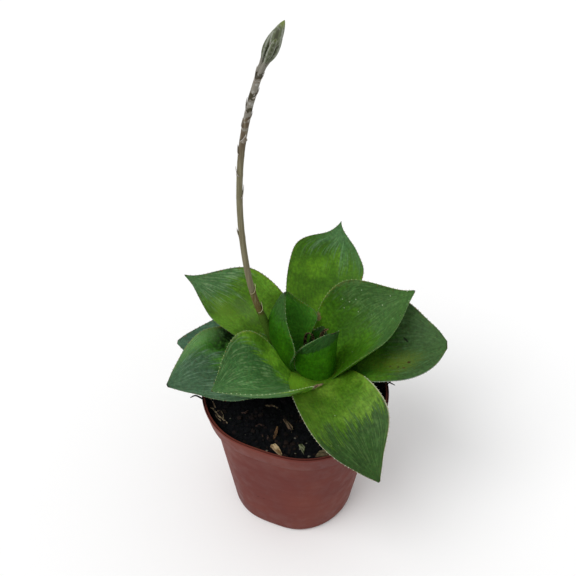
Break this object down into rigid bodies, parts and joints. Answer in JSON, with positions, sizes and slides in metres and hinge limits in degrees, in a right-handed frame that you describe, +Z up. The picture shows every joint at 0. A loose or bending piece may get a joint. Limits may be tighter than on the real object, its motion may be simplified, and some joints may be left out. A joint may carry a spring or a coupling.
{
  "type": "potted haworthia",
  "caption": "Rosette of thick, pointed, channelled green leaves spilling over a round tapered plastic nursery pot filled with soil, with one slender flower stalk ending in a bud spike.",
  "frame": {"origin": "Middle of the flat underside of the pot, on the surface it stands on.", "axes": "+Z is up along the pot's axis. -Y is the front, the side the picture is taken from, and +X is to the right in it. The flower stalk leans to -X."},
  "size_m": [0.0888, 0.0905, 0.1738],
  "materials": {
    "pot": "satin",
    "soil": "matte",
    "crown": "matte",
    "leaf": "satin",
    "stalk": "matte",
    "bract": "matte",
    "bud": "matte",
    "husk": "matte",
    "chip_cream": "matte",
    "chip_grey": "matte",
    "chip_tan": "matte",
    "bark": "matte"
  },
  "bodies": {
    "root": {"pot": "pot", "soil": "soil", "crown": "crown", "flower_stalk": "stalk", "leaf_low_back_left": "leaf", "leaf_low_back_right": "leaf", "leaf_far_left": "leaf", "leaf_left": "leaf", "leaf_right": "leaf", "leaf_front_right": "leaf", "leaf_back_left": "leaf", "leaf_back": "leaf", "leaf_front_left": "leaf", "leaf_back_right": "leaf", "leaf_inner_left": "leaf", "leaf_inner_front": "leaf", "leaf_heart": "leaf", "bract_1": "bract", "bract_2": "bract", "bract_3": "bract", "bract_4": "bract", "bract_5": "bract", "bract_6": "bract", "bract_7": "bract", "bract_8": "bract", "bract_9": "bract", "bract_10": "bract", "bract_11": "bract", "bract_12": "bract", "bract_13": "bract", "bud_1": "bud", "bud_2": "bud", "bud_3": "bud", "bud_4": "bud", "bud_end": "bud", "chip_cream": "chip_cream", "chip_grey": "chip_grey", "chip_tan": "chip_tan", "chip_bark_left": "bark", "chip_bark_right": "bark", "chip_bark_back": "bark", "husk_front": "husk", "husk_heart": "husk"}
  },
  "joints": []
}
